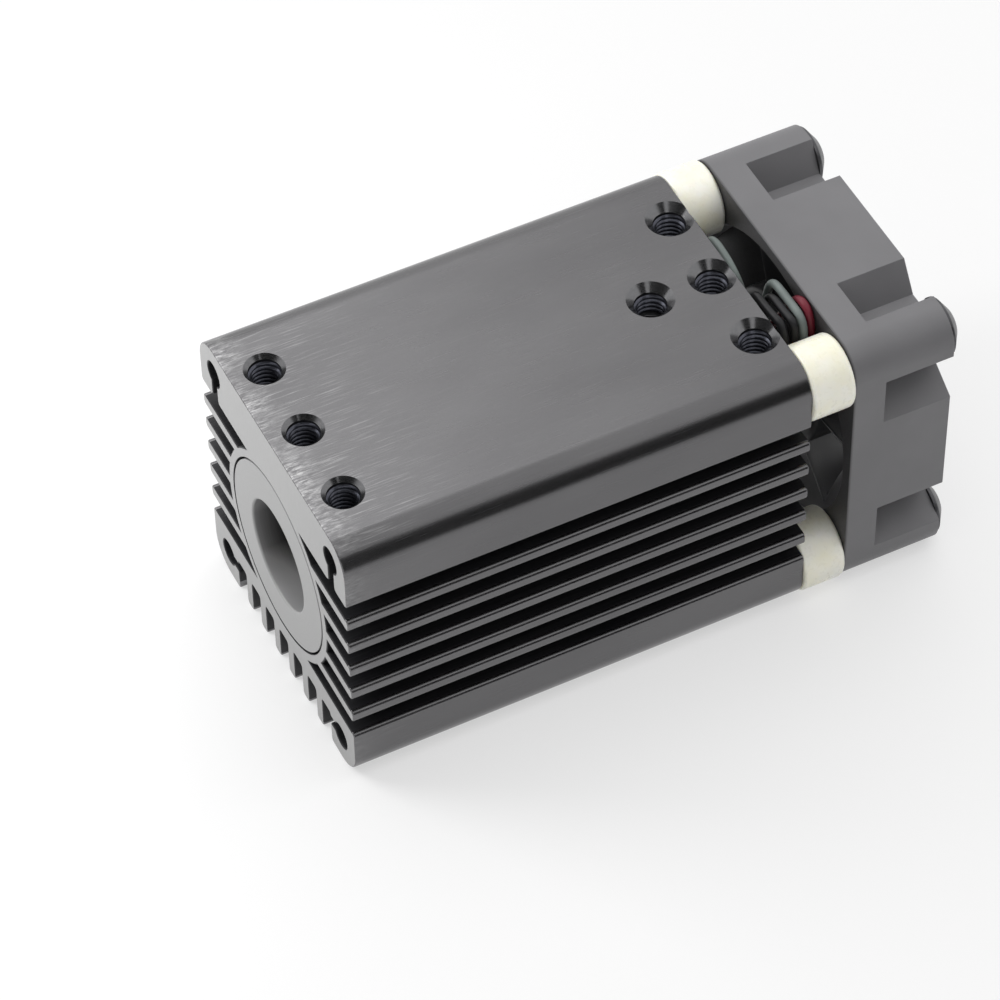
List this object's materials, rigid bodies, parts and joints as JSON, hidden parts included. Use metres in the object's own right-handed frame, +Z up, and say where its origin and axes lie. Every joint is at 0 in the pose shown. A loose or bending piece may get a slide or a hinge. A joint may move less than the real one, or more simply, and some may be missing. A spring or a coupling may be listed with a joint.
{
  "type": "laser diode module",
  "caption": "Square finned heat sink with a laser barrel in its round bore, tapped holes in its top plate, and an axial cooling fan held off its rear face by nylon spacers.",
  "frame": {"origin": "middle of the object's box at the level of the surface that it stands on", "axes": "+Z up through the plate with the tapped holes, -Y the way the beam leaves, +Y towards the fan, +X to the right as seen by someone who looks into the fan"},
  "size_m": [0.031, 0.0604, 0.03],
  "materials": {
    "heatsink_body": "bead blasted, dark anodised",
    "laser_barrel": "turned, dark anodised",
    "lens_cell": "turned",
    "lens": "polished, coated",
    "lens_ring": "turned",
    "focus_spring": "drawn wire",
    "laser_diode": "plated",
    "diode_clamp_ring": "turned",
    "driver_board": "solder resist",
    "driver_chip": "moulded",
    "driver_inductor": "ferrite drum",
    "driver_capacitor": "ceramic block",
    "rear_cap": "moulded",
    "set_screw": "black oxide",
    "spacers": "moulded nylon",
    "fan_screws": "zinc plated",
    "fan_frame": "moulded, fine texture",
    "fan_rotor": "moulded",
    "rotor_shaft": "ground",
    "bearing_sleeve": "sintered bronze",
    "shaft_clip": "moulded",
    "rotor_magnet": "pressed ferrite",
    "stator_core": "lamination stack",
    "stator_coils": "enamelled copper",
    "motor_board": "solder resist",
    "motor_chip": "moulded",
    "lead_red": "extruded insulation",
    "lead_black": "extruded insulation",
    "lead_grey": "extruded insulation"
  },
  "bodies": {
    "module": {"bearing_sleeve": "bearing_sleeve", "diode_clamp_ring": "diode_clamp_ring", "driver_board": "driver_board", "driver_capacitor": "driver_capacitor", "driver_chip": "driver_chip", "driver_inductor": "driver_inductor", "fan_frame": "fan_frame", "fan_screws": "fan_screws", "focus_spring": "focus_spring", "heatsink_body": "heatsink_body", "laser_barrel": "laser_barrel", "laser_diode": "laser_diode", "lead_black": "lead_black", "lead_black_2": "lead_black", "lead_grey": "lead_grey", "lead_red": "lead_red", "lens": "lens", "lens_cell": "lens_cell", "lens_ring": "lens_ring", "motor_board": "motor_board", "motor_chip": "motor_chip", "rear_cap": "rear_cap", "set_screw": "set_screw", "spacer_lower_left": "spacers", "spacer_lower_right": "spacers", "spacer_upper_left": "spacers", "spacer_upper_right": "spacers", "stator_coils": "stator_coils", "stator_core": "stator_core"},
    "rotor": {"fan_rotor": "fan_rotor", "rotor_shaft": "rotor_shaft", "rotor_magnet": "rotor_magnet", "shaft_clip": "shaft_clip"}
  },
  "joints": [
    {"name": "fan_spin", "type": "hinge", "parent": "module", "child": "rotor", "pos_m": [0, 0.02403, 0.015], "axis": [0, 1, 0], "continuous": true}
  ]
}
